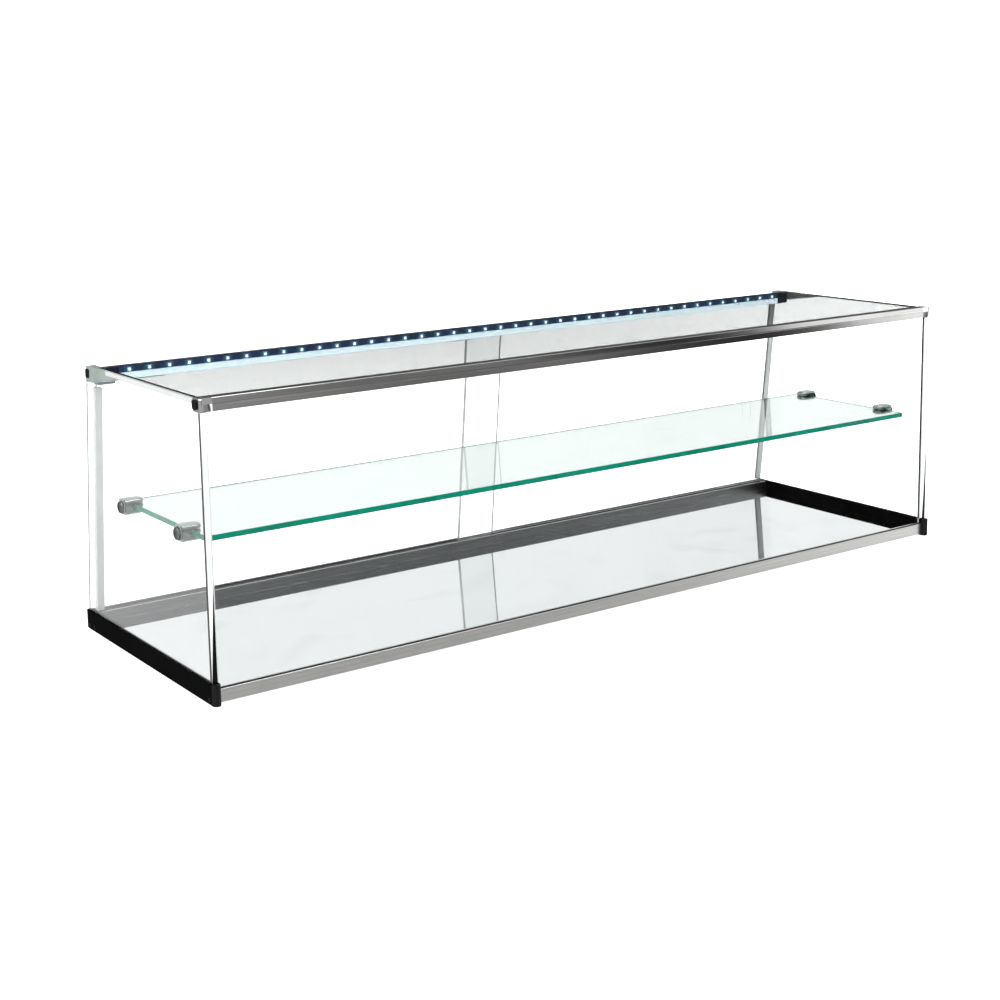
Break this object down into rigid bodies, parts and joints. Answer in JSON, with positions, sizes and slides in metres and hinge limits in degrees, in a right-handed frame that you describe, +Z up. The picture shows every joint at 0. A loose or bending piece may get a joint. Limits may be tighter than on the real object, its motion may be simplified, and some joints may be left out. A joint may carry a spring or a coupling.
{
  "type": "counter-top bakery display case",
  "caption": "Long low counter-top display case with flat glass sides, one glass shelf, a lit rear top rail, a mirror-steel tray and sliding glass doors at the back.",
  "frame": {"origin": "middle of the footprint, on the counter that the foot strips stand on", "axes": "+X along the case to the right as the customer in front sees it, +Y towards the server's side with the sliding doors, +Z up"},
  "size_m": [1.05, 0.325, 0.308],
  "materials": {
    "black_profile": "satin black anodised extrusion",
    "black_plastic": "satin black moulded plastic",
    "foot_rubber": "matt black rubber",
    "base_rail_aluminium": "fine brushed, clear anodised",
    "dark_rail_aluminium": "satin dark grey anodised",
    "board": "raw fibreboard",
    "mirror_steel": "mirror polished stainless steel",
    "black_screw": "black zinc plated",
    "clear_glass": "clear float glass with polished edges",
    "shelf_glass": "clear float glass with a green polished edge",
    "gasket_rubber": "matt black rubber",
    "clear_seal": "clear soft plastic",
    "top_rail_aluminium": "brushed grey anodised",
    "polished_corner": "polished",
    "cover_navy": "satin navy coated",
    "reflector_white": "matt white",
    "end_cap_grey": "satin grey moulded plastic",
    "circuit_navy": "navy solder mask",
    "led_white": "glowing cool white",
    "clamp_chrome": "polished chrome plate",
    "screw_steel": "plain steel",
    "nylon": "natural nylon"
  },
  "bodies": {
    "case": {"left_side_profile": "black_profile", "right_side_profile": "black_profile", "left_front_foot_cap": "black_plastic", "right_front_foot_cap": "black_plastic", "left_rear_foot_cap": "black_plastic", "right_rear_foot_cap": "black_plastic", "left_foot_strip": "foot_rubber", "right_foot_strip": "foot_rubber", "centre_feet": "foot_rubber", "front_base_rail": "base_rail_aluminium", "rear_base_rail": "dark_rail_aluminium", "base_board": "board", "base_tray": "mirror_steel", "frame_screws": "black_screw", "left_side_glass": "clear_glass", "right_side_glass": "clear_glass", "front_glass": "clear_glass", "top_glass": "clear_glass", "shelf_glass": "shelf_glass", "front_glass_gasket": "gasket_rubber", "left_corner_seal": "clear_seal", "right_corner_seal": "clear_seal", "left_top_seal": "clear_seal", "right_top_seal": "clear_seal", "front_top_rail": "top_rail_aluminium", "front_left_corner": "polished_corner", "front_right_corner": "polished_corner", "front_left_plug": "black_plastic", "front_right_plug": "black_plastic", "rear_top_rail": "top_rail_aluminium", "rear_top_cover": "cover_navy", "rear_left_end_cap": "end_cap_grey", "rear_right_end_cap": "end_cap_grey", "rear_left_plug": "black_plastic", "rear_right_plug": "black_plastic", "led_strip": "circuit_navy", "led_chips": "led_white", "light_reflector": "reflector_white", "power_inlet": "black_plastic", "left_front_clamp": "clamp_chrome", "left_rear_clamp": "clamp_chrome", "right_front_clamp": "clamp_chrome", "right_rear_clamp": "clamp_chrome", "clamp_bolts": "clamp_chrome", "clamp_bushes": "clear_seal", "clamp_pads": "clear_seal", "clamp_set_screws": "screw_steel", "door_bumpers": "foot_rubber"},
    "left_door": {"left_door_glass": "clear_glass", "left_door_glides": "nylon", "left_door_guides": "nylon", "left_door_edge_seal": "clear_seal"},
    "right_door": {"right_door_glass": "clear_glass", "right_door_glides": "nylon", "right_door_guides": "nylon", "right_door_edge_seal": "clear_seal"}
  },
  "joints": [
    {"name": "left_door_slide", "type": "slide", "parent": "case", "child": "left_door", "axis": [1, 0, 0], "range_m": [0, 0.479]},
    {"name": "right_door_slide", "type": "slide", "parent": "case", "child": "right_door", "axis": [1, 0, 0], "range_m": [-0.479, 0]}
  ]
}
